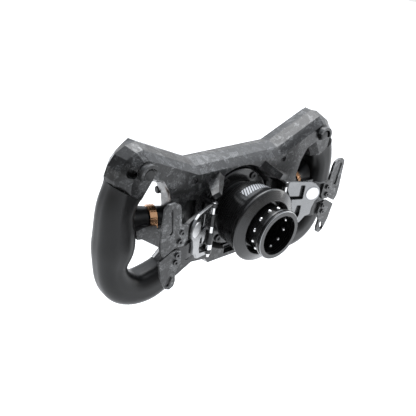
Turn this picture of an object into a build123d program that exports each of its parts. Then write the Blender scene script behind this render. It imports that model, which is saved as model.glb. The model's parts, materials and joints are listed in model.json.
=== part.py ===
from build123d import *
import os
from math import cos, radians, sin

# Formula-style racing wheel for a driving simulator, in millimetres.
# Origin: centre of the quick-release socket's mouth. +Y points back at the wheel base,
# -Y at the driver, +Z up, +X to the driver's right. The wheel is the same on both sides.

# ---- driving dimensions: depths along Y --------------------------------------------
REAR_FACE_Y = -58.0
REAR_EDGE_Y = -66.0
SEAM_Y = -78.1
FRONT_EDGE_Y = -87.0
PLATE_FRONT_Y = -90.0
PLATE_INSET = 2.2
WELL_FLOOR_Y = -66.0
WALL = 4.0

# ---- driving dimensions: quick-release hub -----------------------------------------
BORE_R = 19.6
BORE_LENGTH = 10.0
RELIEF_R = 19.9
TUBE_R = 21.8
LIP_R = 24.1
SLEEVE_RIM_R = 36.8
SLEEVE_FRONT_Y = -51.0
FLANGE_R = 40.0
FLANGE_Y = -60.0
BOLT_CIRCLE_R = 35.0
BALL_COUNT = 12
BALL_R = 2.25
BALL_Y = -12.5
BALL_PROUD = 1.3
WELL_R = 44.8
PASSAGE_R = 30.0

# ---- driving dimensions: paddles ---------------------------------------------------
HINGE_X = 46.0
HINGE_Y = -41.3
LEVER_ANGLE = 24.0
PIN_R = 1.5
PLATE_T = 2.5
LEVER_IN = 3.2
LEVER_OUT = 6.5
MAGNET_S = 31.0
MAGNET_Z = 12.0
PADDLE_T = 2.5
SHIFT_FACE_Y = -25.8
CLUTCH_FACE_Y = -27.3

# ---- driving dimensions: grips, spokes and controls --------------------------------
GRIP_Y = -72.4
CORE_R = 7.0
CORE_TAIL = 14.0
SPOKE_ORIGIN = (90.0, -74.0, 4.0)
SPOKE_TILT = 18.0
SPOKE_R = 12.0
THUMB_WHEEL_R = 13.2
THUMB_WHEEL_W = 6.6
REAR_BUTTON_X = 108.3
REAR_BUTTON_Z = 58.9
REAR_BUTTON_R = 5.2
SIDE_BUTTON_Y = -82.8
SIDE_BUTTON_Z = 26.0
SIDE_BUTTON_R = 3.6
PUSH_R = 6.2
PUSH_CENTRES = [(98.0, 59.5), (79.0, 51.5), (60.0, 40.0), (53.0, 20.0)]
KNOB_CENTRES = [(-36.0, -33.0), (0.0, -33.0), (36.0, -33.0)]
KNOB_R = 10.0
SHELL_SCREWS = [(56.0, 41.0), (56.0, -39.0)]
GAP = 0.3

# ---- outlines of the body, right half, top centre to bottom centre ------------------
FRONT_HALF = [
    (50, 52.5), (109.2, 78.7), (114.8, 74.8), (120.5, 70), (126, 63.4), (128.5, 54),
    (129, 45.8), (105.9, 31.9), (88, 36), (74, 30.2), (68, 21), (69, 13), (70, -10),
    (66, -22), (64, -38), (75.5, -50), (69, -61.5), (50, -57), (30, -55), (26, -55),
]
SEAM_HALF = [
    (50.7, 54.1), (107.7, 78.9), (117.4, 76.7), (127, 71), (133.6, 62), (136.2, 54),
    (136, 50), (105.9, 31.9), (95, 40), (84, 37), (78, 26), (76, 14), (77, -10),
    (78, -22), (71, -36), (79.5, -43.5), (66.5, -67.5), (50, -59), (31, -55), (26, -57),
]
REAR_EDGE_HALF = [
    (51.7, 51.1), (108.1, 76), (114.5, 74.5), (123, 69.8), (130.2, 61), (133.6, 53),
    (134, 48.8), (106.5, 32.2), (99, 47), (88, 43), (81, 31), (78, 16), (79, -10),
    (80, -24), (74, -34), (79.2, -44), (67.5, -65.7), (50, -53), (32, -51), (28, -56),
]
REAR_HALF = [
    (52.7, 46), (107.5, 70), (112, 69), (117, 64.5), (121, 57), (122.5, 48),
    (122.5, 41.9), (112, 35.5), (101.6, 52), (90, 47.5), (83.6, 36), (80, 20), (80, -8),
    (82, -25), (76, -33), (77.5, -47.1), (71.5, -58.3), (50, -46), (33, -48), (28, -54),
]
CAVITY_HALF = [
    (50.5, 48), (107, 72), (112, 69.5), (118, 63), (121, 56), (122, 48), (107, 39),
    (94, 46), (82, 42), (70, 36), (64, 23), (64, -13), (60, -30), (60, -42), (64, -52), (50, -53),
    (27, -49),
]
HORN_CAVITY = [(62, 46), (106, 66), (111, 64), (116, 56), (117, 47), (104, 49), (88, 44)]
REAR_BAY = [(34, 20), (40, 19.5), (63.8, 23.4), (62.5, 6), (60, -16), (54, -29), (34, -29)]

# ---- grip path: x, z, half width in the wheel's plane, half depth along Y ----------
GRIP_STATIONS = [
    (121.0, 40.9, 17.0, 14.5),
    (124.6, 33.2, 15.6, 14.8),
    (127.2, 25.5, 15.2, 15.2),
    (128.2, 8.0, 16.2, 16.2),
    (127.9, -9.0, 17.6, 17.4),
    (130.2, -27.0, 14.6, 15.0),
    (126.6, -46.0, 14.6, 15.0),
    (113.5, -60.0, 15.3, 15.4),
    (97.5, -63.4, 15.6, 15.6),
    (84.5, -60.8, 15.4, 15.4),
    (72.96, -55.48, 14.7, 14.6),
]
GRIP_START = (0.5165, 0, -0.8563)
GRIP_END = (-0.8805, 0, 0.4741)


def at_y(y):
    """Sketch plane square to Y, with the sketch's x along X and its y along Z."""
    return Plane(origin=(0, y, 0), x_dir=(1, 0, 0), z_dir=(0, -1, 0))


def flat(points):
    """Polygon face whose normal is +Z whichever way round its points run."""
    turns = zip(points, points[1:] + points[:1])
    doubled_area = sum(a[0] * b[1] - b[0] * a[1] for a, b in turns)
    return Polygon(*(points if doubled_area > 0 else points[::-1]), align=None)


def whole(half):
    """Full outline from its right half."""
    return half + [(-x, z) for x, z in reversed(half)]


def slab(outline, y_from, y_to):
    """Prism between two depths; y_from is the rearward one."""
    return extrude(at_y(y_from) * flat(outline), y_from - y_to)


def disc(radius, centre, y_from, y_to):
    """Cylinder along Y between two depths, centred on (x, z)."""
    return extrude(at_y(y_from) * Pos(*centre) * Circle(radius), y_from - y_to)


def block(x0, x1, y0, y1, z0, z1):
    return Pos((x0 + x1) / 2, (y0 + y1) / 2, (z0 + z1) / 2) * Box(x1 - x0, y1 - y0, z1 - z0)


def turned(profile):
    """Solid of revolution about Y from (radius, y) points."""
    return revolve(flat(profile), axis=Axis.Y)


def joined(parts):
    """One shape from several solids that stay separate."""
    return Compound(children=[solid for part in parts for solid in part.solids()])


def mirrored(part):
    return mirror(part, about=Plane.YZ)


# ---- grips -------------------------------------------------------------------------
def grip_frames():
    """Station planes square to the grip's path, with their half sizes."""
    points = [(x, GRIP_Y, z) for x, z, _, _ in GRIP_STATIONS]
    path = Spline(*points, tangents=[GRIP_START, GRIP_END])
    frames = []
    for x, z, half_w, half_d in GRIP_STATIONS:
        where = path.param_at_point(Vector(x, GRIP_Y, z))
        along = path % where
        outward = Vector(-along.Z, 0, along.X)
        frames.append((Plane(origin=(x, GRIP_Y, z), x_dir=outward, z_dir=along), half_w, half_d))
    return frames


def grip_core(radius):
    """Round core along the grip, carried on into the body at both ends."""
    planes = [plane for plane, _, _ in grip_frames()]
    core = loft([plane * Circle(radius) for plane in planes])
    core += extrude(planes[0] * Circle(radius), -CORE_TAIL)
    return core + extrude(planes[-1] * Circle(radius), CORE_TAIL)


def make_grip():
    """Moulded rubber sleeve with a soft squared section round its metal core."""
    return make_grip_outer() - grip_core(CORE_R)


# ---- body shells -------------------------------------------------------------------
def body_loft(rear, front, y_rear, y_front):
    faces = [at_y(y_rear) * flat(whole(rear)), at_y(y_front) * flat(whole(front))]
    return loft(faces, ruled=True)


def hinge_fairing():
    """Tapered arm that rises from the rear face and covers the top of the paddle hinge."""
    base = at_y(-62) * flat([(18, 39), (26, 47), (40, 37), (33, 26)])
    tip = at_y(-42.6) * flat([(37, 29.5), (41, 34), (48.5, 32), (44.5, 26.8)])
    return loft([base, tip], ruled=True)


def button_guard():
    """Crescent rim over the top of the rear push button."""
    at = (REAR_BUTTON_X, REAR_BUTTON_Z)
    ring = disc(9.2, at, -52.4, -60) - disc(6.4, at, -52, -61)
    lower = Pos(REAR_BUTTON_X, -56, REAR_BUTTON_Z) * Rot(0, 22, 0) * Pos(0, 0, -8) * Box(24, 12, 16)
    return ring - lower


def spoke_gusset():
    """Web under the spoke that braces the body to the grip."""
    outline = [(74, 1), (84, 2.4), (99, 6.2), (114, 5), (112, -4), (107, -5), (87.6, -19.5), (74, -25)]
    web = slab(outline, -60.2, SEAM_Y) - make_grip_outer()
    slot = spoke_frame() * Cylinder(THUMB_WHEEL_R + 0.6, THUMB_WHEEL_W + 2 * GAP)
    return web - slot


def make_rear_shell():
    shell = body_loft(REAR_EDGE_HALF, SEAM_HALF, REAR_EDGE_Y, SEAM_Y)
    shell += body_loft(REAR_HALF, REAR_EDGE_HALF, REAR_FACE_Y, REAR_EDGE_Y)
    shell -= slab(whole(CAVITY_HALF), WELL_FLOOR_Y - WALL, SEAM_Y - 1)
    well = [
        (0, -50), (WELL_R + 2.25, -50), (WELL_R, REAR_FACE_Y), (WELL_R - 3.5, WELL_FLOOR_Y),
        (0, WELL_FLOOR_Y),
    ]
    shell -= turned(well)
    shell -= disc(PASSAGE_R, (0, 0), WELL_FLOOR_Y + 1, SEAM_Y)
    shell -= block(-8.5, 8.5, -65, -50, -50, -40.5)
    shell -= block(-6, 6, -72, -60, -48.5, -43)
    for centre in PolarLocations(BOLT_CIRCLE_R, 6):
        shell -= disc(2.1 + GAP, (centre.position.X, centre.position.Y), -60, -75)
    for side in (1, -1):
        shell -= slab([(side * x, z) for x, z in HORN_CAVITY], REAR_FACE_Y - WALL, -75)
        shell -= slab([(side * x, z) for x, z in REAR_BAY], -50, WELL_FLOOR_Y)
        button = (side * REAR_BUTTON_X, REAR_BUTTON_Z)
        shell -= disc(REAR_BUTTON_R + 0.9, button, -50, -68)
        for x, z in SHELL_SCREWS:
            shell -= disc(2.8, (side * x, z), -50, REAR_FACE_Y - 3)
            shell -= disc(1.7, (side * x, z), -50, -75)
    extras = [hinge_fairing(), button_guard(), spoke_gusset()]
    for part in extras:
        shell += part
        shell += mirrored(part)
    for side in (1, -1):
        x0, x1 = sorted((side * (HINGE_X - 5), side * (HINGE_X + 3)))
        shell -= block(x0, x1, WELL_FLOOR_Y, -50, -27, 25)
    facet_hole = Pos(119.5, -62.5, 60) * Rot(0, 0, -38) * Rot(90, 0, 0) * Cylinder(4.2, 9)
    shell -= facet_hole
    shell -= mirrored(facet_hole)
    for inner in (grip_core(CORE_R + GAP), make_grip_outer()):
        shell = shell - inner - mirrored(inner)
    return shell


def make_front_shell():
    shell = body_loft(SEAM_HALF, FRONT_HALF, SEAM_Y, FRONT_EDGE_Y)
    shell -= slab(whole(CAVITY_HALF), SEAM_Y + 1, FRONT_EDGE_Y - 1)
    for inner in (grip_core(CORE_R + GAP), make_grip_outer()):
        shell = shell - inner - mirrored(inner)
    hole = Pos(70, SIDE_BUTTON_Y, SIDE_BUTTON_Z) * Rot(0, 90, 0) * Cylinder(SIDE_BUTTON_R + GAP, 30)
    return shell - hole - mirrored(hole)


def make_front_plate():
    """Driver's side panel with the openings for its buttons, knobs and light bar."""
    face = offset(flat(whole(FRONT_HALF)), -PLATE_INSET, kind=Kind.INTERSECTION)
    plate = extrude(at_y(FRONT_EDGE_Y) * face, FRONT_EDGE_Y - PLATE_FRONT_Y)
    for side in (1, -1):
        for x, z in PUSH_CENTRES:
            plate -= disc(PUSH_R + GAP, (side * x, z), FRONT_EDGE_Y + 1, PLATE_FRONT_Y - 1)
    for centre in KNOB_CENTRES:
        plate -= disc(3.3, centre, FRONT_EDGE_Y + 1, PLATE_FRONT_Y - 1)
    return plate - block(-36, 36, -91, -86, 40.5, 46.5)


def make_light_bar():
    bar = block(-35.8, 35.8, -90.6, -85.5, 40.7, 46.3)
    return bar + block(-38, 38, -86.9, -85.5, 39.5, 47.5)


# ---- inner parts -------------------------------------------------------------------
def make_chassis():
    """Aluminium frame plate with the two cores that the grips are moulded over."""
    outline = [
        (50, 47), (104, 69), (111, 64), (117, 54), (116, 47), (107, 42), (94, 48), (81, 44),
        (68, 37.5), (62.5, 23), (62.5, -13), (58.5, -31), (58.5, -43), (61, -50), (50, -51.5),
        (28, -47.5),
    ]
    frame = slab(whole(outline), -73, -78)
    frame -= disc(PASSAGE_R, (0, 0), -72, -80)
    for side in (1, -1):
        frame -= disc(8, (side * REAR_BUTTON_X, REAR_BUTTON_Z), -72, -80)
        for x, z in SHELL_SCREWS:
            frame -= disc(1.7, (side * x, z), -72, -80)
    for centre in PolarLocations(BOLT_CIRCLE_R, 6):
        frame -= disc(2.15, (centre.position.X, centre.position.Y), -72, -80)
    core = grip_core(CORE_R)
    return frame + core + mirrored(core)


def make_control_board():
    """Circuit board behind the front plate."""
    outline = [(50, 46), (100, 66), (106, 60), (98, 51), (80, 45), (62, 36), (59, 20), (59, -40)]
    return slab(whole(outline), -80, -81.5)


def make_switches():
    """Tactile switches and rotary encoders soldered to the board, one solid for each control."""
    cans = []
    for side in (1, -1):
        for x, z in PUSH_CENTRES:
            can = block(side * x - 3, side * x + 3, -83.8, -81.5, z - 3, z + 3)
            cans.append(can + disc(1.7, (side * x, z), -83, -84.2))
    for x, z in KNOB_CENTRES:
        cans.append(block(x - 6, x + 6, -85.4, -81.5, z - 6, z + 6))
    return joined(cans)


# ---- quick-release hub -------------------------------------------------------------
def make_hub_body():
    profile = [
        (TUBE_R, -74), (PASSAGE_R - 0.5, -74), (PASSAGE_R - 0.5, WELL_FLOOR_Y),
        (FLANGE_R, WELL_FLOOR_Y), (FLANGE_R, FLANGE_Y - 1), (FLANGE_R - 1, FLANGE_Y),
        (26.6, FLANGE_Y), (26.6, -48), (24.0, -48), (24.0, -24), (TUBE_R, -24),
    ]
    body = turned(profile)
    for centre in PolarLocations(BOLT_CIRCLE_R, 6):
        body -= disc(2.1, (centre.position.X, centre.position.Y), -55, -80)
    return body


def make_hub_tube():
    """Socket that takes the base's shaft, with a rolled lip and ball holes."""
    profile = [
        (RELIEF_R, -70), (TUBE_R, -70), (TUBE_R, -7.2), (LIP_R - 0.6, -5.6), (LIP_R, -5.0),
        (LIP_R, -3.2), (LIP_R - 0.9, -2.9), (LIP_R - 0.9, -2.1), (LIP_R, -1.8), (LIP_R, -0.7),
        (LIP_R - 0.7, 0), (BORE_R, 0), (BORE_R, -BORE_LENGTH), (RELIEF_R, -BORE_LENGTH - 0.2),
    ]
    tube = turned(profile)
    for place in ball_places():
        tube -= place * Cylinder(BALL_R + 0.05, 9)
    return tube


def ball_places():
    """Places on the ball circle, each with its Z axis pointing outward."""
    radius = BORE_R + BALL_R - BALL_PROUD
    places = []
    for index in range(BALL_COUNT):
        angle = 15 + index * 360 / BALL_COUNT
        x = radius * cos(radians(angle))
        z = radius * sin(radians(angle))
        places.append(Plane(origin=(x, BALL_Y, z), x_dir=(0, 1, 0), z_dir=(x, 0, z)).location)
    return places


def make_balls():
    return joined([place * Sphere(BALL_R) for place in ball_places()])


def make_contact_block():
    """Insulator at the bottom of the socket with two rows of sprung contact pins."""
    base = disc(RELIEF_R, (0, 0), -38, -44)
    base -= block(-9, 9, -39, -37, -5, 5)
    for row in (-2, 2):
        for column in range(-3, 4):
            base += disc(0.8, (column * 2.4, row), -35.5, -40)
    return base


def make_release_sleeve():
    profile = [
        (27.0, SLEEVE_FRONT_Y), (31.0, SLEEVE_FRONT_Y), (32.0, -50), (32.6, -40), (33.8, -27.5),
        (36.0, -23), (SLEEVE_RIM_R, -21.2), (SLEEVE_RIM_R, -20.4), (36.2, -19.4), (27.4, -15.2),
        (26.8, -15.8), (26.8, -30), (24.3, -30), (24.3, -36), (27.0, -36),
    ]
    return turned(profile)


def make_sleeve_spring():
    """Stacked wave spring round the hub, as one plain ring."""
    return turned([(24.3, -48), (26.4, -48), (26.4, -36), (24.3, -36)])


def make_hub_bolts():
    bolts = []
    for centre in PolarLocations(BOLT_CIRCLE_R, 6):
        at = (centre.position.X, centre.position.Y)
        head = disc(3.8, at, -58.4, FLANGE_Y) - disc(1.8, at, -58, -59.4)
        bolts.append(head + disc(2.1, at, FLANGE_Y, -79))
    return joined(bolts)


def make_usb_socket():
    shell = block(-5.9, 5.9, -71.5, -62.5, -48.4, -43.1)
    shell -= block(-4.4, 4.4, -70, -62, -47.2, -44.3)
    return shell + block(-3.4, 3.4, -70.5, -63.2, -46.1, -45.4)


# ---- paddles -----------------------------------------------------------------------
def lever_plane(depth=0.0):
    """Plane of the lever on the right side; depth runs from its rear face to the driver."""
    c, s = cos(radians(LEVER_ANGLE)), sin(radians(LEVER_ANGLE))
    origin = (HINGE_X + depth * s, HINGE_Y - depth * c, 0)
    return Plane(origin=origin, x_dir=(c, s, 0), z_dir=(s, -c, 0))


def lever_point(along, depth):
    """Plan position (x, y) of a point in the lever's plane."""
    c, s = cos(radians(LEVER_ANGLE)), sin(radians(LEVER_ANGLE))
    return (HINGE_X + along * c + depth * s, HINGE_Y + along * s - depth * c)


def hinge_ring(radius, z0, z1):
    return Pos(HINGE_X, HINGE_Y, (z0 + z1) / 2) * Cylinder(radius, z1 - z0)


def plan_prism(points, z0, z1):
    return extrude(Plane.XY.offset(z0) * flat(points), z1 - z0)


def make_stop_plate():
    """Fixed plate behind both levers, cut away to an open lattice."""
    outer = [
        (3.3, 25), (27, 25), (33, 22.5), (37.5, 18), (39.5, 12.5), (38.5, 7), (35.5, 3),
        (33.5, -4), (33, -12), (28, -14), (23.5, -21), (3.3, -27), (3.3, -23.5), (19, -17.5),
        (21.5, -12), (21.5, -1.5), (17, -1.5), (16, -10.5), (12, -7), (9.5, 5.5), (17.2, 5.5),
        (21.5, 6), (21.5, 21), (17, 21), (17, 9), (7, 9), (3.3, 16),
    ]
    plate = extrude(lever_plane() * fillet(flat(outer).vertices(), 0.7), PLATE_T)
    return plate - extrude(lever_plane(-1) * Pos(MAGNET_S, MAGNET_Z) * Circle(7.05), PLATE_T + 2)


def make_hinge_block():
    """Bracket on the body whose two arms hold the hinge pin and the stop plate."""
    blk = block(HINGE_X - 5, HINGE_X + 3, WELL_FLOOR_Y, WELL_FLOOR_Y + 4, -27, 25)
    for z0, z1 in ((21, 25), (-27, -23)):
        blk += block(HINGE_X - 2.6, HINGE_X + 2.6, WELL_FLOOR_Y, HINGE_Y, z0, z1)
        blk += hinge_ring(3.25, z0, z1)
    blk -= extrude(lever_plane(-0.01) * Pos(24, 0) * Rectangle(41.4, 60), PLATE_T + 0.02)
    return blk - hinge_ring(PIN_R, -28, 26)


def make_hinge_pin():
    """Pin through both levers, with a head, two spacers, a spring collar and a clip."""
    pin = hinge_ring(PIN_R, -31, 26)
    collars = [
        (2.3, 25, 26.2), (2.1, 14.3, 20.7), (2.6, -4.7, 1.7), (2.9, -22.7, -17.3), (2.3, -28.4, -27),
    ]
    for radius, z0, z1 in collars:
        pin += hinge_ring(radius, z0, z1)
    return pin


def lever_plan(tab_x, tab_face_y, tab_t):
    """Outline from above of a lever: straight arm, then a tab square to the hub's axis."""
    return [
        lever_point(-2, LEVER_IN), lever_point(36, LEVER_IN), (83.5, tab_face_y), (tab_x, tab_face_y),
        (tab_x, tab_face_y - tab_t), (86.5, tab_face_y - tab_t), lever_point(36, LEVER_OUT),
        lever_point(-2, LEVER_OUT),
    ]


def make_lever(knuckle, arm, tab, plan):
    """Lever cut from its plan prism: low at the hinge, full height along the arm."""
    lever = plan_prism(plan, -20, 30)
    side = [
        (-3, knuckle[0]), (9, knuckle[0]), (15, arm[0]), (36, arm[0]), (39, tab[0]), (70, tab[0]),
        (70, tab[1]), (39, tab[1]), (36, arm[1]), (15, arm[1]), (9, knuckle[1]), (-3, knuckle[1]),
    ]
    lever = lever & extrude(lever_plane(-20) * flat(side), 60)
    corners = [(-2.9, 0), (2.4, 0), (2.4, LEVER_OUT), (-2.9, LEVER_OUT)]
    web = [lever_point(along, depth) for along, depth in corners]
    lever += hinge_ring(2.95, *knuckle) + plan_prism(web, *knuckle)
    return lever - hinge_ring(PIN_R + 0.05, -40, 40)


def screw_holes(centres, radius):
    return [disc(radius, centre, -20, -40) for centre in centres]


SHIFT_SCREWS = [(92.7, 16.4), (94.0, 8.0)]
CLUTCH_SCREWS = [(93.9, -6.0), (95.1, -13.0)]


def make_shift_lever():
    plan = lever_plan(98, SHIFT_FACE_Y - PADDLE_T, 2.7)
    lever = make_lever((2.2, 13.8), (4.5, 22), (4.5, 21), plan)
    lever -= extrude(lever_plane() * Pos(MAGNET_S, MAGNET_Z) * Circle(5.05), 12)
    for hole in screw_holes(SHIFT_SCREWS, 1.5):
        lever -= hole
    return lever


def make_clutch_lever():
    plan = lever_plan(99, CLUTCH_FACE_Y - PADDLE_T, 2.5)
    lever = make_lever((-16.8, -5.2), (-15.5, 0.5), (-16, -1.5), plan)
    for hole in screw_holes(CLUTCH_SCREWS, 1.5):
        lever -= hole
    return lever


def make_shift_paddle():
    """Carbon plate for the finger, with a shallow groove along its blade."""
    outline = [
        (111.5, 42.5), (108, 45.4), (101.5, 45.6), (96.8, 43), (95.2, 38), (93.6, 24),
        (86.5, 21.5), (85.4, 9.5), (89, 3), (98, 3), (109.6, -3), (112.6, 2.5), (113.2, 10.6),
    ]
    sketch = fillet(flat(outline).vertices(), 1.6)
    paddle = extrude(at_y(SHIFT_FACE_Y) * sketch, PADDLE_T)
    groove = at_y(SHIFT_FACE_Y + 1) * Pos(105, 29) * Rot(0, 0, 84) * SlotOverall(24, 4.4)
    paddle -= extrude(groove, 2.0)
    for hole in screw_holes(SHIFT_SCREWS, 1.5):
        paddle -= hole
    return paddle


def make_clutch_paddle():
    """Lower carbon plate, with a through slot near its tip."""
    outline = [
        (112.1, -8), (109, -6.2), (100.7, -1.4), (95.8, -0.4), (90, -3), (88.9, -15), (92.4, -20),
        (94.1, -24), (93.1, -32), (94.2, -37.6), (98.5, -40), (103, -38), (106, -32.6), (109, -25),
    ]
    sketch = fillet(flat(outline).vertices(), 1.4)
    paddle = extrude(at_y(CLUTCH_FACE_Y) * sketch, PADDLE_T)
    slot = at_y(CLUTCH_FACE_Y + 1) * Pos(100.2, -31) * Rot(0, 0, 108) * SlotOverall(10.5, 4.4)
    paddle -= extrude(slot, PADDLE_T + 2)
    for hole in screw_holes(CLUTCH_SCREWS, 1.5):
        paddle -= hole
    return paddle


def make_paddle_screws(centres, face_y):
    """Socket-head screws through a paddle and its lever's tab."""
    screws = []
    for centre in centres:
        head = disc(2.5, centre, face_y + 1.7, face_y) - disc(1.2, centre, face_y + 2, face_y + 0.6)
        screws.append(head + disc(1.5, centre, face_y, face_y - 4.9))
    return joined(screws)


def make_fixed_magnet():
    return extrude(lever_plane(-0.5) * Pos(MAGNET_S, MAGNET_Z) * Circle(7.0), PLATE_T + 0.5)


def make_moving_magnet():
    return extrude(lever_plane(LEVER_IN) * Pos(MAGNET_S, MAGNET_Z) * Circle(5.0), LEVER_OUT - LEVER_IN)


# ---- spokes and controls -----------------------------------------------------------
def spoke_frame():
    """Plane whose Z axis is the thumb wheel's axis, pointing to the grip."""
    axis = (cos(radians(SPOKE_TILT)), -sin(radians(SPOKE_TILT)), 0)
    return Plane(origin=SPOKE_ORIGIN, x_dir=(0, 0, 1), z_dir=axis)


def make_spoke():
    """Round spoke from the body to the grip, waisted where the thumb wheel runs."""
    half = THUMB_WHEEL_W / 2 + GAP
    profile = [
        (0, -18), (10.6, -18), (SPOKE_R - 0.6, -half - 1), (SPOKE_R - 1.2, -half), (6, -half), (6, half),
        (SPOKE_R - 1.2, half), (SPOKE_R - 0.4, half + 0.8), (SPOKE_R + 0.4, 10), (SPOKE_R + 3, 17),
        (SPOKE_R + 8, 24), (0, 24),
    ]
    bar = spoke_frame() * revolve(Plane.XZ * flat(profile), axis=Axis.Z)
    bar -= make_grip_outer()
    bar -= body_loft(REAR_EDGE_HALF, SEAM_HALF, REAR_EDGE_Y, SEAM_Y)
    bar -= body_loft(REAR_HALF, REAR_EDGE_HALF, REAR_FACE_Y, REAR_EDGE_Y)
    bar -= body_loft(SEAM_HALF, FRONT_HALF, SEAM_Y, FRONT_EDGE_Y)
    bar -= spoke_gusset()
    return max(bar.solids(), key=lambda solid: solid.volume)


def make_grip_outer():
    sections = []
    for plane, half_w, half_d in grip_frames():
        sections.append(plane * RectangleRounded(2 * half_w, 2 * half_d, 0.82 * min(half_w, half_d)))
    return loft(sections)


def make_thumb_wheel():
    """Knurled ring with flats, turned by the thumb."""
    ring = extrude(Pos(0, 0, -THUMB_WHEEL_W / 2) * RegularPolygon(THUMB_WHEEL_R, 12), THUMB_WHEEL_W)
    ring &= Cylinder(THUMB_WHEEL_R - 0.15, THUMB_WHEEL_W)
    for index in range(12):
        notch = Rot(0, 0, index * 30) * Pos(THUMB_WHEEL_R + 0.1, 0, 0) * Cylinder(0.9, THUMB_WHEEL_W + 2)
        ring -= notch
    ring -= Cylinder(6.05, THUMB_WHEEL_W + 2)
    return spoke_frame() * ring


def make_rear_button():
    profile = [
        (0, -65), (REAR_BUTTON_R, -65), (REAR_BUTTON_R, -54.4), (REAR_BUTTON_R - 0.9, -53.6),
        (0, -53.4),
    ]
    return Pos(REAR_BUTTON_X, 0, REAR_BUTTON_Z) * turned(profile)


def make_side_button():
    """Cap on the body's flank, beside the upper window."""
    profile = [
        (0, 62), (SIDE_BUTTON_R, 62), (SIDE_BUTTON_R, 78.4), (SIDE_BUTTON_R - 0.7, 79.2), (0, 79.4),
    ]
    cap = revolve(Plane.XZ * flat(profile), axis=Axis.Z)
    return Plane(origin=(0, SIDE_BUTTON_Y, SIDE_BUTTON_Z), x_dir=(0, 0, 1), z_dir=(1, 0, 0)) * cap


def make_push_button(centre):
    profile = [
        (0, -85.9), (7.3, -85.9), (7.3, -86.7), (PUSH_R, -86.7), (PUSH_R, -94.4),
        (PUSH_R - 0.8, -95.2), (0, -94.6),
    ]
    return Pos(centre[0], 0, centre[1]) * turned(profile)


def make_knob(centre):
    """Rotary selector knob with finger flutes and a pointer groove."""
    profile = [
        (0, -85.8), (3.0, -85.8), (3.0, -90.4), (KNOB_R, -90.4), (KNOB_R - 0.4, -102),
        (KNOB_R - 1.4, -103), (0, -103),
    ]
    knob = turned(profile)
    for place in PolarLocations(KNOB_R + 0.7, 12):
        knob -= disc(1.5, (place.position.X, place.position.Y), -92.5, -104)
    knob -= block(-0.6, 0.6, -104, -102.3, 2, 9)
    return Pos(centre[0], 0, centre[1]) * knob


def make_shell_screws():
    """Socket screws that close the body and hold the paddle brackets."""
    screws = []
    for side in (1, -1):
        for x, z in SHELL_SCREWS:
            at = (side * x, z)
            head = disc(2.6, at, -59.4, -61) - disc(1.3, at, -59, -60.4)
            screws.append(head + disc(1.6, at, -61, -75))
    return joined(screws)


def build_nodes():
    """Every node of the wheel, by name."""
    nodes = {
        "rear_shell": make_rear_shell(),
        "front_shell": make_front_shell(),
        "front_plate": make_front_plate(),
        "light_bar": make_light_bar(),
        "chassis": make_chassis(),
        "control_board": make_control_board(),
        "switches_and_encoders": make_switches(),
        "hub_body": make_hub_body(),
        "hub_tube": make_hub_tube(),
        "locking_balls": make_balls(),
        "contact_block": make_contact_block(),
        "release_sleeve": make_release_sleeve(),
        "sleeve_spring": make_sleeve_spring(),
        "hub_bolts": make_hub_bolts(),
        "shell_screws": make_shell_screws(),
        "usb_socket": make_usb_socket(),
    }
    paired = {
        "grip": make_grip(),
        "spoke": make_spoke(),
        "thumb_wheel": make_thumb_wheel(),
        "stop_plate": make_stop_plate(),
        "hinge_block": make_hinge_block(),
        "hinge_pin": make_hinge_pin(),
        "fixed_magnet": make_fixed_magnet(),
        "shift_lever": make_shift_lever(),
        "shift_magnet": make_moving_magnet(),
        "shift_paddle": make_shift_paddle(),
        "shift_screws": make_paddle_screws(SHIFT_SCREWS, SHIFT_FACE_Y),
        "clutch_lever": make_clutch_lever(),
        "clutch_paddle": make_clutch_paddle(),
        "clutch_screws": make_paddle_screws(CLUTCH_SCREWS, CLUTCH_FACE_Y),
        "rear_button": make_rear_button(),
        "side_button": make_side_button(),
    }
    for name, part in paired.items():
        nodes[name + "_right"] = part
        nodes[name + "_left"] = mirrored(part)
    for index, (x, z) in enumerate(PUSH_CENTRES, start=1):
        nodes[f"push_button_right_{index}"] = make_push_button((x, z))
        nodes[f"push_button_left_{index}"] = make_push_button((-x, z))
    for name, centre in zip(("left", "middle", "right"), KNOB_CENTRES):
        nodes["rotary_knob_" + name] = make_knob(centre)
    return nodes


os.makedirs("parts", exist_ok=True)
for node_name, shape in build_nodes().items():
    export_step(shape, f"parts/{node_name}.step")
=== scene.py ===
import json
import math

import bmesh
import bpy
from mathutils import Matrix, Quaternion, Vector

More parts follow.
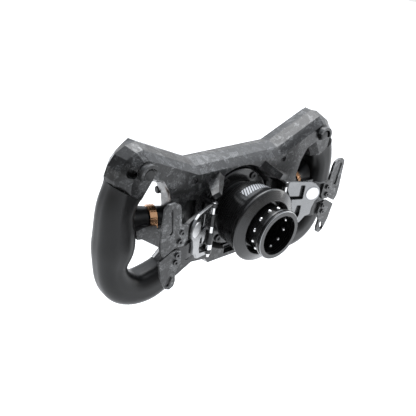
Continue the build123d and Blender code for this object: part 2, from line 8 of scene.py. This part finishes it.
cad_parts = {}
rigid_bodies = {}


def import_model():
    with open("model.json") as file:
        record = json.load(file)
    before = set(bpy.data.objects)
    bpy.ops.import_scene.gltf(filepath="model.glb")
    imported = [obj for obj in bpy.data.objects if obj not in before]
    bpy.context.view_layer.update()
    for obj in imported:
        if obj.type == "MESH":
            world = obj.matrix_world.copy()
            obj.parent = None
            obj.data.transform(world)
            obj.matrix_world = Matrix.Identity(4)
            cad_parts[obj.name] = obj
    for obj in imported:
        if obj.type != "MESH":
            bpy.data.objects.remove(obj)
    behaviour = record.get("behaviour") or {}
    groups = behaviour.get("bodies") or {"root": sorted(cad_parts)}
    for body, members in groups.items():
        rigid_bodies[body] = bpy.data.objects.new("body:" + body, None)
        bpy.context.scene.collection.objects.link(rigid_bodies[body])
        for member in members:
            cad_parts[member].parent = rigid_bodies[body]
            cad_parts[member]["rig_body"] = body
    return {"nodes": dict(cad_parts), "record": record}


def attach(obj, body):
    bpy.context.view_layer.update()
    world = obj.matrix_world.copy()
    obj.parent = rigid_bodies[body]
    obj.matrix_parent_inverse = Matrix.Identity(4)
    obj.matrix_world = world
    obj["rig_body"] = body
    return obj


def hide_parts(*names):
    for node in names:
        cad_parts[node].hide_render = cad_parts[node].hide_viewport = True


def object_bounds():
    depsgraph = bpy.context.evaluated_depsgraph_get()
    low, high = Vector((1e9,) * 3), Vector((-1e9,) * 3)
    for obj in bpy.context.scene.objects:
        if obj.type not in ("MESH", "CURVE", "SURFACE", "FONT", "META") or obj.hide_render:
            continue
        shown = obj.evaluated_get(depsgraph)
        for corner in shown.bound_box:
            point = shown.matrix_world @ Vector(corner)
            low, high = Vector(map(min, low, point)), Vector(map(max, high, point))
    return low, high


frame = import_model()
nodes = frame["nodes"]
cad_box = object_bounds()

SIDES = ("right", "left")

# camera: where it aims, and how it stands round the wheel
AIM = Vector((0.0436, -0.0513, 0.0142))
AZIMUTH, ELEVATION, ROLL = 136.85, 28.2, 7.66
DISTANCE = 0.504
LENS, SENSOR = 48.6, 36.0

# studio: floor, then a sky that brightens towards one side above a pale backdrop
FLOOR_DROP = 0.16
FLOOR_HALF = 4.0
SKY_BRIGHT = Vector((-0.5, -0.4, 0.75))
SKY_STOPS = ((0.1, (0.17, 0.175, 0.185, 1)), (0.95, (2.1, 2.2, 2.35, 1)))
SKY_STRENGTH = 0.85
BACKDROP = (1.0, 1.0, 1.0, 1)
BACKDROP_FADE = (0.2, 0.32)

# shaded hollows of the rear shell, in metres: the hub well's radius, then the paddle bays' box
HOLLOW_R = 0.0453
HOLLOW_X, HOLLOW_Z, HOLLOW_HALF = 0.0645, -0.003, 0.0275
HOLLOW_TOP, HOLLOW_END = -0.0587, -0.075
HOLLOW_BLACK = (0.003, 0.003, 0.003, 1)

# grey bars on the collar, in metres and radians: place, size, then spacing, slant and fill
BAND_Y, BAND_HALF, BAND_R, BAND_ARC = -0.037, 0.005, 0.0325, 0.52
BAR_RATE, BAR_SLANT, BAR_FILL = 11.5, 210, 0.62
BAR_GREY = (0.40, 0.41, 0.43, 1)

# painted highlight: a pale line round the hub's lip, in metres
LIP_R, LIP_HALF, LIP_Y = 0.02375, 0.0002, -0.0009
LIP_HIGHLIGHT_GREY = (0.36, 0.37, 0.38, 1)

# edge rounding of the CAD copies: angles in degrees
FLAT_ANGLE = 0.6
EDGE_ANGLE, SMOOTH_ANGLE = 28, 32
SHELL_EDGE_ANGLE, SHELL_SMOOTH_ANGLE = 11, 12


# ---- node helpers ---------------------------------------------------------------
class Look:
    """A material and short calls that add nodes to it."""

    def __init__(self, name, **shader):
        self.material = bpy.data.materials.new(name)
        self.material.use_nodes = True
        self.tree = self.material.node_tree
        self.shader = self.tree.nodes["Principled BSDF"]
        for socket, value in shader.items():
            self.shader.inputs[socket.replace("_", " ")].default_value = value
        self.place = self.add("ShaderNodeTexCoord").outputs["Object"]

    def add(self, kind, **settings):
        node = self.tree.nodes.new(kind)
        for name, value in settings.items():
            setattr(node, name, value)
        return node

    def link(self, source, target):
        self.tree.links.new(source, target)

    def math(self, operation, *values):
        node = self.add("ShaderNodeMath", operation=operation)
        for socket, value in zip(node.inputs, values):
            if isinstance(value, (int, float)):
                socket.default_value = value
            else:
                self.link(value, socket)
        return node.outputs[0]

    def within(self, value, centre, half):
        """1 where value is less than half away from centre, 0 elsewhere."""
        return self.math("LESS_THAN", self.math("ABSOLUTE", self.math("SUBTRACT", value, centre)), half)

    def axes(self):
        """x, y, z and the distance from the hub's axis."""
        split = self.add("ShaderNodeSeparateXYZ")
        self.link(self.place, split.inputs[0])
        x, y, z = split.outputs
        squares = self.math("ADD", self.math("MULTIPLY", x, x), self.math("MULTIPLY", z, z))
        return x, y, z, self.math("SQRT", squares)

    def stretched(self, scale, source=None):
        node = self.add("ShaderNodeMapping")
        node.inputs["Scale"].default_value = scale
        self.link(source or self.place, node.inputs["Vector"])
        return node.outputs[0]

    def noise(self, scale, detail=3.0, roughness=0.5, source=None):
        node = self.add("ShaderNodeTexNoise")
        node.inputs["Scale"].default_value = scale
        node.inputs["Detail"].default_value = detail
        node.inputs["Roughness"].default_value = roughness
        self.link(source or self.place, node.inputs["Vector"])
        return node.outputs["Fac"]

    def cells(self, scale, source=None, feature="F1"):
        node = self.add("ShaderNodeTexVoronoi", feature=feature)
        node.inputs["Scale"].default_value = scale
        self.link(source or self.place, node.inputs["Vector"])
        return node

    def ramp(self, fac, stops):
        node = self.add("ShaderNodeValToRGB")
        ramp = node.color_ramp
        while len(ramp.elements) < len(stops):
            ramp.elements.new(0.5)
        for element, (position, colour) in zip(ramp.elements, stops):
            element.position = position
            element.color = (*colour, 1)
        self.link(fac, node.inputs["Fac"])
        return node.outputs["Color"]

    def span(self, fac, low, high, new_low, new_high):
        node = self.add("ShaderNodeMapRange")
        for index, value in enumerate((low, high, new_low, new_high), start=1):
            node.inputs[index].default_value = value
        self.link(fac, node.inputs[0])
        return node.outputs[0]

    def mix(self, fac, a, b):
        node = self.add("ShaderNodeMix", data_type="RGBA")
        for socket, value in ((node.inputs[0], fac), (node.inputs[6], a), (node.inputs[7], b)):
            if isinstance(value, tuple):
                socket.default_value = value
            else:
                self.link(value, socket)
        return node.outputs[2]

    def bump(self, height, distance, strength):
        node = self.add("ShaderNodeBump")
        node.inputs["Distance"].default_value = distance
        node.inputs["Strength"].default_value = strength
        self.link(height, node.inputs["Height"])
        self.link(node.outputs[0], self.shader.inputs["Normal"])

    def colour(self, source):
        self.link(source, self.shader.inputs["Base Color"])

    def roughness(self, source):
        self.link(source, self.shader.inputs["Roughness"])


def grey(value, tint=(1, 1, 1)):
    return tuple(value * part for part in tint)


# ---- materials ------------------------------------------------------------------
def hollow_mask(look):
    """1 inside the hub's well and the paddle bays of the rear shell, where shade is painted; 0 elsewhere.
    """
    x, y, z, radius = look.axes()
    well = look.math("LESS_THAN", radius, HOLLOW_R)
    bays = look.math("MULTIPLY", look.within(x, 0, HOLLOW_X), look.within(z, HOLLOW_Z, HOLLOW_HALF))
    below = look.math("LESS_THAN", y, HOLLOW_TOP)
    above = look.math("GREATER_THAN", y, HOLLOW_END)
    return look.math("MULTIPLY", look.math("MAXIMUM", well, bays), look.math("MULTIPLY", below, above))


def chopped_carbon(name, chip=0.0048, light=1.0, shade_hollows=False):
    """Flat chips of carbon tow lying at random, each with its own direction and sheen."""
    look = Look(name, IOR=1.5, Coat_Weight=0.35, Coat_Roughness=0.16, Metallic=0.25)
    warp = look.add("ShaderNodeTexNoise")
    warp.inputs["Scale"].default_value = 45
    warp.inputs["Detail"].default_value = 3
    look.link(look.place, warp.inputs["Vector"])
    pull = look.add("ShaderNodeVectorMath", operation="MULTIPLY_ADD")
    look.link(warp.outputs["Color"], pull.inputs[0])
    pull.inputs[1].default_value = (0.016, 0.016, 0.016)
    look.link(look.place, pull.inputs[2])
    shades = []
    for size, squeeze in ((chip, (1, 1, 0.45)), (0.55 * chip, (0.5, 1, 1)), (0.8 * chip, (1, 0.6, 0.7))):
        chips = look.cells(1 / size, look.stretched(squeeze, pull.outputs[0]))
        tone = look.add("ShaderNodeSeparateColor")
        look.link(chips.outputs["Color"], tone.inputs[0])
        turn = look.add("ShaderNodeVectorRotate", rotation_type="EULER_XYZ")
        look.link(look.place, turn.inputs["Vector"])
        angles = look.add("ShaderNodeVectorMath", operation="SCALE")
        look.link(chips.outputs["Color"], angles.inputs[0])
        angles.inputs["Scale"].default_value = 2 * math.pi
        look.link(angles.outputs[0], turn.inputs["Rotation"])
        fibre = look.noise(900, 4, 0.65, look.stretched((0.12, 1, 1), turn.outputs[0]))
        shades.append((tone.outputs[0], tone.outputs[1], fibre))
    pick = look.math("GREATER_THAN", shades[1][1], 0.62)
    under = look.math("GREATER_THAN", shades[2][1], 0.7)
    tone = look.mix(pick, shades[0][0], shades[1][0])
    tone = look.mix(under, tone, shades[2][0])
    fibre = look.mix(pick, shades[0][2], shades[1][2])
    fibre = look.mix(under, fibre, shades[2][2])
    drift = look.noise(16, 2)
    level = look.math("ADD", look.math("MULTIPLY", tone, 0.36), look.math("MULTIPLY", fibre, 0.95))
    level = look.math("ADD", level, look.math("MULTIPLY", look.math("SUBTRACT", drift, 0.5), 0.4))
    stops = ((0.42, 0.0035), (0.60, 0.009), (0.74, 0.027), (0.86, 0.08), (1.0, 0.22))
    surface = look.ramp(level, [(at, grey(light * v, (0.96, 0.98, 1.0))) for at, v in stops])
    gloss = look.span(level, 0.3, 0.95, 0.46, 0.27)
    if shade_hollows:
        # painted shade: the hub's well and the paddle bays are painted near black, with a rougher coat
        hollow_shade = hollow_mask(look)
        surface = look.mix(hollow_shade, surface, HOLLOW_BLACK)
        gloss = look.math("ADD", gloss, look.math("MULTIPLY", hollow_shade, 0.35))
    look.colour(surface)
    look.roughness(gloss)
    look.bump(level, 0.00012, 0.45)
    return look.material


def moulded_rubber(name):
    """Soft-touch rubber, nearly smooth, with faint handling marks."""
    look = Look(name, IOR=1.42, Specular_IOR_Level=0.42)
    pores = look.noise(2600, 2, 0.6)
    wear = look.noise(28, 4, 0.6)
    look.colour(look.ramp(wear, [(0.35, grey(0.0045)), (0.7, grey(0.0085, (1, 1, 1.03)))]))
    worn = look.math("ADD", wear, look.math("MULTIPLY", pores, 0.3))
    look.roughness(look.span(worn, 0.4, 0.95, 0.30, 0.42))
    look.bump(pores, 0.00005, 0.4)
    return look.material


def anodised(name, base, tint=(1, 1, 1), rough=(0.24, 0.36), metallic=1.0):
    """Bead-blasted metal with small shifts of tone."""
    look = Look(name, Metallic=metallic, IOR=1.6)
    grain = look.noise(3800, 2, 0.7)
    cloud = look.noise(60, 4, 0.6)
    low, high = grey(base * 0.86, tint), grey(base * 1.12, tint)
    shade = look.math("ADD", look.math("MULTIPLY", cloud, 0.6), look.math("MULTIPLY", grain, 0.4))
    look.colour(look.ramp(shade, [(0.35, low), (0.65, high)]))
    look.roughness(look.span(look.math("ADD", cloud, grain), 0.6, 1.4, *rough))
    look.bump(grain, 0.00004, 0.5)
    return look.material


def hub_finish(name):
    """Black turned aluminium; a plain band of slanted grey bars decorates the top of the collar."""
    look = Look(name, Metallic=0.3, IOR=1.55, Coat_Weight=0.3, Coat_Roughness=0.14, Coat_IOR=1.6)
    x, y, z, radius = look.axes()
    angle = look.math("ARCTAN2", z, x)
    turned = look.add("ShaderNodeCombineXYZ")
    look.link(radius, turned.inputs[0])
    look.link(y, turned.inputs[1])
    grain = look.noise(3600, 3, 0.7, turned.outputs[0])
    cloud = look.noise(70, 3)
    black = look.ramp(cloud, [(0.35, grey(0.006)), (0.7, grey(0.013, (1, 1, 1.04)))])
    phase = look.math("ADD", look.math("MULTIPLY", angle, BAR_RATE), look.math("MULTIPLY", y, BAR_SLANT))
    bars = look.math("LESS_THAN", look.math("FRACT", phase), BAR_FILL)
    inside = look.within(y, BAND_Y, BAND_HALF)
    arc = look.within(angle, math.pi / 2, BAND_ARC)
    outer = look.math("GREATER_THAN", radius, BAND_R)
    mask = look.math("MULTIPLY", look.math("MULTIPLY", bars, inside), look.math("MULTIPLY", arc, outer))
    # painted highlight: a grey line round the lip's chamfer
    lip_highlight = look.math("MULTIPLY", look.within(radius, LIP_R, LIP_HALF), look.math("GREATER_THAN", y, LIP_Y))
    look.colour(look.mix(lip_highlight, look.mix(mask, black, BAR_GREY), LIP_HIGHLIGHT_GREY))
    gloss = look.span(grain, 0.3, 0.7, 0.2, 0.33)
    look.roughness(look.math("ADD", gloss, look.math("MULTIPLY", mask, 0.18)))
    look.bump(grain, 0.00003, 0.35)
    return look.material


def polished(name, base=0.78, rough=(0.04, 0.13)):
    """Bright metal with a faint haze."""
    look = Look(name, Metallic=1.0)
    haze = look.noise(260, 4, 0.7)
    look.colour(look.ramp(haze, [(0.3, grey(base * 0.92)), (0.7, grey(base, (1, 1, 1.01)))]))
    look.roughness(look.span(haze, 0.3, 0.7, *rough))
    look.bump(haze, 0.00001, 0.2)
    return look.material


def plastic(name, base, rough=(0.38, 0.5), glow=0.0):
    """Fine-textured plastic; glow lets light through it."""
    look = Look(name, IOR=1.46)
    texture = look.noise(2400, 3, 0.6)
    cloud = look.noise(90, 3)
    look.colour(look.ramp(cloud, [(0.3, grey(base * 0.85)), (0.7, grey(base * 1.15))]))
    look.roughness(look.span(cloud, 0.3, 0.7, *rough))
    look.bump(texture, 0.00005, 0.5)
    if glow:
        look.shader.inputs["Subsurface Weight"].default_value = glow
        look.shader.inputs["Subsurface Radius"].default_value = (0.002, 0.002, 0.002)
    return look.material


def circuit(name):
    """Green board with darker tracks."""
    look = Look(name, IOR=1.5, Coat_Weight=0.4, Coat_Roughness=0.15)
    tracks = look.cells(420, feature="DISTANCE_TO_EDGE")
    line = look.math("LESS_THAN", tracks.outputs["Distance"], 0.06)
    look.colour(look.mix(line, (0.006, 0.05, 0.022, 1), (0.02, 0.13, 0.06, 1)))
    look.roughness(look.span(look.noise(300), 0.3, 0.7, 0.3, 0.45))
    return look.material


def plain_floor(name):
    """Pale paper that glows a little, so it stays white under a small light."""
    look = Look(name, IOR=1.3, Specular_IOR_Level=0.05, Emission_Color=(1, 1, 1, 1), Emission_Strength=0.2)
    cloud = look.noise(3, 2)
    look.colour(look.ramp(cloud, [(0.3, grey(0.93)), (0.7, grey(0.95))]))
    look.roughness(look.span(cloud, 0.3, 0.7, 0.8, 0.9))
    return look.material


LOOKS = {
    "forged_carbon": chopped_carbon("forged_carbon", light=0.8, shade_hollows=True),
    "grip_rubber": moulded_rubber("grip_rubber"),
    "black_anodised": anodised("black_anodised", 0.016, (1, 1, 1.03), (0.22, 0.34), metallic=0.3),
    "grey_anodised": anodised("grey_anodised", 0.26, (0.98, 0.99, 1.0), (0.22, 0.32)),
    "bronze_anodised": anodised("bronze_anodised", 0.62, (0.90, 0.50, 0.27), (0.2, 0.3)),
    "polished_steel": polished("polished_steel"),
    "black_oxide": anodised("black_oxide", 0.006, rough=(0.42, 0.52), metallic=0.1),
    "screw_steel": anodised("screw_steel", 0.10, (1, 1, 1.02), (0.3, 0.42)),
    "magnet_nickel": polished("magnet_nickel", 0.74, (0.28, 0.4)),
    "black_plastic": plastic("black_plastic", 0.013),
    "button_caps": plastic("button_caps", 0.016, (0.28, 0.4)),
    "light_diffuser": plastic("light_diffuser", 0.5, (0.3, 0.42), glow=0.4),
    "circuit_board": circuit("circuit_board"),
    "chassis_alloy": anodised("chassis_alloy", 0.42, rough=(0.3, 0.42)),
    "hub": hub_finish("hub"),
}
PADDLE_CARBON = chopped_carbon("paddle_carbon", 0.0055, 1.3)


# ---- CAD pieces with eased edges --------------------------------------------------
def tidy_faces(mesh):
    """Joins the triangles of each flat face, so that an eased edge runs clean along it."""
    work = bmesh.new()
    work.from_mesh(mesh)
    bmesh.ops.remove_doubles(work, verts=work.verts, dist=0.000005)
    bmesh.ops.dissolve_limit(work, angle_limit=math.radians(FLAT_ANGLE), verts=work.verts, edges=work.edges)
    work.to_mesh(mesh)
    work.free()


def eased(name, width, edge_angle=EDGE_ANGLE, smooth_angle=SMOOTH_ANGLE):
    """Copy of a CAD node with small rounds on its sharp edges."""
    source = nodes[name]
    mesh = source.data.copy()
    mesh.name = name + "_eased"
    tidy_faces(mesh)
    piece = bpy.data.objects.new(name + "_eased", mesh)
    bpy.context.scene.collection.objects.link(piece)
    bevel = piece.modifiers.new("edge", "BEVEL")
    bevel.width = width
    bevel.segments = 2
    bevel.limit_method = "ANGLE"
    bevel.angle_limit = math.radians(edge_angle)
    mesh.shade_smooth()
    mesh.set_sharp_from_angle(angle=math.radians(smooth_angle))
    dress(piece, name)
    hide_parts(name)
    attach(piece, source["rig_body"])


def finish_of(name):
    """The material of a node, by what the piece is."""
    if name in ("hub_body", "hub_tube", "release_sleeve"):
        return LOOKS["hub"]
    if name.startswith(("shift_paddle", "clutch_paddle")):
        return PADDLE_CARBON
    if name.startswith("spoke"):
        return LOOKS["grip_rubber"]
    if name == "hub_bolts":
        return LOOKS["black_oxide"]
    if name.startswith(("shift_lever", "clutch_lever")):
        return LOOKS["black_anodised"]
    return LOOKS[slot_of[name]]


def dress(piece, name):
    piece.data.materials.clear()
    piece.data.materials.append(finish_of(name))


slot_of = {part["node"]: part["material_slot"] for part in frame["record"]["subparts"]}
# radius of the rounds in metres, for single nodes and for the nodes of each side
EASED = {
    "rear_shell": 0.0009, "front_shell": 0.0009, "front_plate": 0.0006, "hub_tube": 0.0004,
    "hub_body": 0.0004, "release_sleeve": 0.0006, "light_bar": 0.0004,
}
EASED_PAIRS = {
    "stop_plate": 0.0003, "hinge_block": 0.0004, "shift_lever": 0.0003, "clutch_lever": 0.0003,
    "shift_paddle": 0.0007, "clutch_paddle": 0.0007, "thumb_wheel": 0.0004, "fixed_magnet": 0.0003,
    "rear_button": 0.0003, "side_button": 0.0003, "spoke": 0.0004,
}
for name, width in EASED.items():
    if name.endswith("shell"):
        eased(name, width, SHELL_EDGE_ANGLE, SHELL_SMOOTH_ANGLE)
    else:
        eased(name, width, EDGE_ANGLE, EDGE_ANGLE + 1)
for side in SIDES:
    for name, width in EASED_PAIRS.items():
        eased(f"{name}_{side}", width)
for name, node in nodes.items():
    node.data.materials.clear()
    node.data.materials.append(finish_of(name))


# ---- studio ---------------------------------------------------------------------
def add_floor():
    low = cad_box[0][2] - FLOOR_DROP
    mesh = bpy.data.meshes.new("floor")
    corners = [(x * FLOOR_HALF, y * FLOOR_HALF, low) for x, y in ((-1, -1), (1, -1), (1, 1), (-1, 1))]
    mesh.from_pydata(corners, [], [(0, 1, 2, 3)])
    floor = bpy.data.objects.new("floor", mesh)
    bpy.context.scene.collection.objects.link(floor)
    floor.data.materials.append(plain_floor("floor_paper"))


def add_softbox(name, place, size, power):
    """Rectangular light that faces the origin."""
    lamp = bpy.data.lights.new(name, "AREA")
    lamp.shape = "RECTANGLE"
    lamp.size, lamp.size_y = size
    lamp.energy = power
    box = bpy.data.objects.new(name, lamp)
    box.location = place
    box.rotation_euler = Vector(place).to_track_quat("Z", "Y").to_euler()
    bpy.context.scene.collection.objects.link(box)


def add_world():
    world = bpy.data.worlds.new("studio")
    world.use_nodes = True
    tree = world.node_tree
    sky = tree.nodes["Background"]
    along = tree.nodes.new("ShaderNodeVectorMath")
    along.operation = "DOT_PRODUCT"
    along.inputs[1].default_value = SKY_BRIGHT.normalized()
    shade = tree.nodes.new("ShaderNodeValToRGB")
    for element, (position, colour) in zip(shade.color_ramp.elements, SKY_STOPS):
        element.position = position
        element.color = colour
    where = tree.nodes.new("ShaderNodeTexCoord").outputs["Generated"]
    tree.links.new(where, along.inputs[0])
    tree.links.new(along.outputs["Value"], shade.inputs["Fac"])
    height = tree.nodes.new("ShaderNodeSeparateXYZ")
    tree.links.new(where, height.inputs[0])
    backdrop = tree.nodes.new("ShaderNodeMapRange")
    backdrop.inputs["From Min"].default_value, backdrop.inputs["From Max"].default_value = BACKDROP_FADE
    tree.links.new(height.outputs["Z"], backdrop.inputs["Value"])
    both = tree.nodes.new("ShaderNodeMix")
    both.data_type = "RGBA"
    both.inputs["A"].default_value = BACKDROP
    tree.links.new(backdrop.outputs["Result"], both.inputs["Factor"])
    tree.links.new(shade.outputs["Color"], both.inputs["B"])
    tree.links.new(both.outputs["Result"], sky.inputs["Color"])
    sky.inputs["Strength"].default_value = SKY_STRENGTH
    bpy.context.scene.world = world


def add_camera():
    azimuth, elevation = math.radians(AZIMUTH), math.radians(ELEVATION)
    level = math.cos(elevation)
    towards = Vector((math.sin(azimuth) * level, -math.cos(azimuth) * level, math.sin(elevation)))
    turn = towards.to_track_quat("Z", "Y") @ Quaternion((0, 0, 1), math.radians(ROLL))
    data = bpy.data.cameras.new("camera")
    data.lens, data.sensor_width = LENS, SENSOR
    data.clip_start = 0.02
    camera = bpy.data.objects.new("camera", data)
    camera.matrix_world = Matrix.Translation(AIM + DISTANCE * towards) @ turn.to_matrix().to_4x4()
    bpy.context.scene.collection.objects.link(camera)
    bpy.context.scene.camera = camera


add_floor()
add_softbox("top", (-0.45, -0.45, 1.4), (1.1, 1.1), 17)
add_softbox("strip", (-1.2, 0.28, 0.36), (0.5, 0.7), 4.5)
add_world()
add_camera()
bpy.context.scene.view_settings.view_transform = "Standard"
